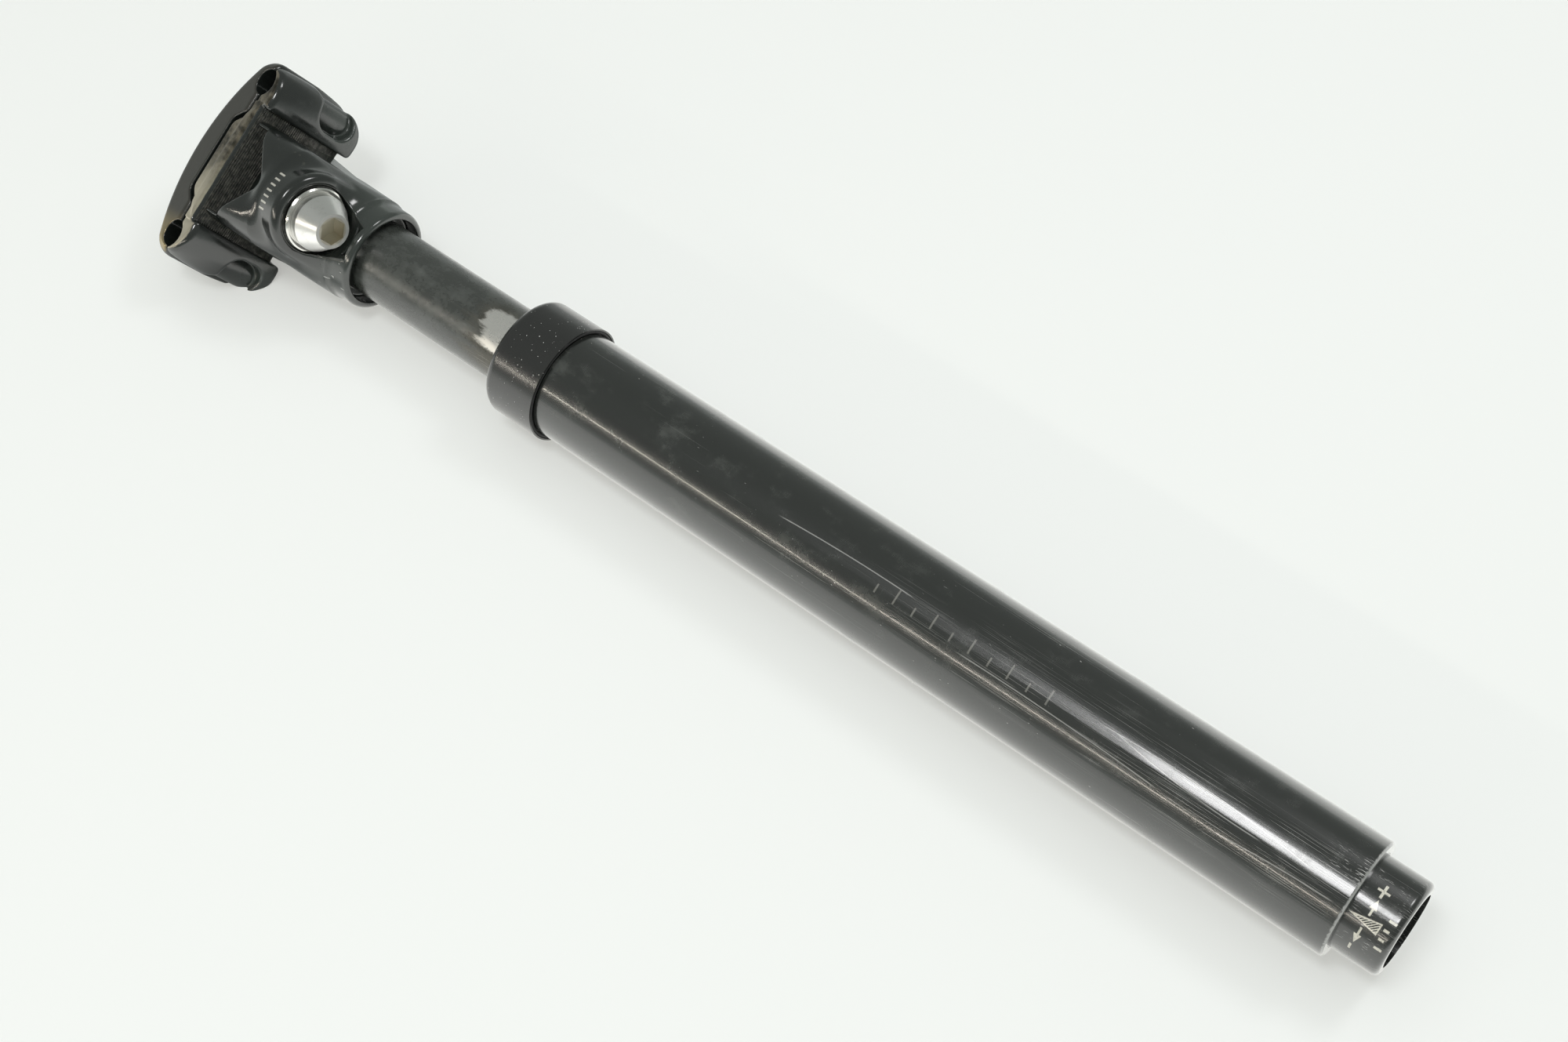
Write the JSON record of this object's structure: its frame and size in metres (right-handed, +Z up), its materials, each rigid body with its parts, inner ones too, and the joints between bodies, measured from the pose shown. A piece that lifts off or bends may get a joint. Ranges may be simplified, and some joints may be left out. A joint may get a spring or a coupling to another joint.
{
  "type": "suspension seatpost",
  "caption": "Telescopic sprung bicycle seatpost: slim post tube, sliding rod, forged head with a toothed tilting saddle-rail clamp, and a preload plug at the foot.",
  "frame": {"origin": "on the post's axis, in the lower end face of the outer tube", "axes": "+Z up along the post towards the saddle, +X to the rear of the bicycle, +Y to the rider's right"},
  "size_m": [0.0421, 0.056, 0.3445],
  "materials": {
    "black_anodised": "gloss black anodised aluminium, scuffed",
    "gloss_paint": "gloss black on forged aluminium, worn at edges",
    "rod_anodised": "semi-gloss black anodised, worn to bronze",
    "stainless": "polished stainless steel",
    "spring_steel": "oiled spring steel",
    "zinc_steel": "zinc plated steel",
    "brass_key": "machined brass",
    "black_rubber": "matte black rubber",
    "elastomer": "amber urethane elastomer",
    "grey_plastic": "grey acetal",
    "black_plastic": "black nylon"
  },
  "bodies": {
    "post_tube": {"outer_tube": "black_anodised", "collar_nut": "black_anodised", "wiper_seal": "black_rubber", "collar_o_ring": "black_rubber", "upper_bushing": "grey_plastic"},
    "sliding_head": {"inner_rod": "rod_anodised", "rod_keys": "brass_key", "lower_bushing": "grey_plastic", "top_out_bumper": "black_rubber", "rod_circlip": "spring_steel", "spring_upper_seat": "black_plastic", "spring_guide": "black_plastic", "head": "gloss_paint", "bolt_washer": "stainless"},
    "preload_seat": {"spring_lower_seat": "black_plastic", "bottom_out_bumper": "elastomer", "main_spring": "spring_steel"},
    "adjuster": {"preload_adjuster": "black_anodised"},
    "bolt": {"clamp_bolt": "stainless"},
    "nut": {"clamp_nut": "zinc_steel"},
    "rail_cradle": {"lower_clamp": "gloss_paint"},
    "rail_cap": {"upper_clamp": "gloss_paint"}
  },
  "joints": [
    {"name": "suspension_travel", "type": "slide", "parent": "post_tube", "child": "sliding_head", "axis": [0, 0, 1], "range_m": [-0.04, 0], "stiffness_N_per_m": 12000, "deforming": ["main_spring"]},
    {"name": "preload_slide", "type": "slide", "parent": "post_tube", "child": "preload_seat", "axis": [0, 0, 1], "range_m": [0, 0.008]},
    {"name": "preload_turn", "type": "hinge", "parent": "preload_seat", "child": "adjuster", "pos_m": [0, 0, 0], "axis": [0, 0, 1], "range_deg": [0, 1925]},
    {"name": "clamp_tilt", "type": "hinge", "parent": "sliding_head", "child": "rail_cradle", "pos_m": [-0.00189, 0, 0.33895], "axis": [0, 1, 0], "range_deg": [-10, 10]},
    {"name": "cap_lift", "type": "slide", "parent": "rail_cradle", "child": "rail_cap", "axis": [-0.342, 0, 0.9397], "range_m": [0, 0.004]},
    {"name": "nut_lift", "type": "slide", "parent": "sliding_head", "child": "nut", "axis": [-0.342, 0, 0.9397], "range_m": [0, 0.004]},
    {"name": "bolt_turn", "type": "hinge", "parent": "sliding_head", "child": "bolt", "pos_m": [0.00837, 0, 0.31076], "axis": [0.342, 0, -0.9397], "range_deg": [0, 1155]}
  ],
  "couplings": [
    {"joint": "preload_turn", "follows": "preload_slide", "rad_per_m": 4188.8},
    {"joint": "cap_lift", "follows": "nut_lift", "ratio": 1},
    {"joint": "bolt_turn", "follows": "nut_lift", "rad_per_m": 5026.5}
  ]
}
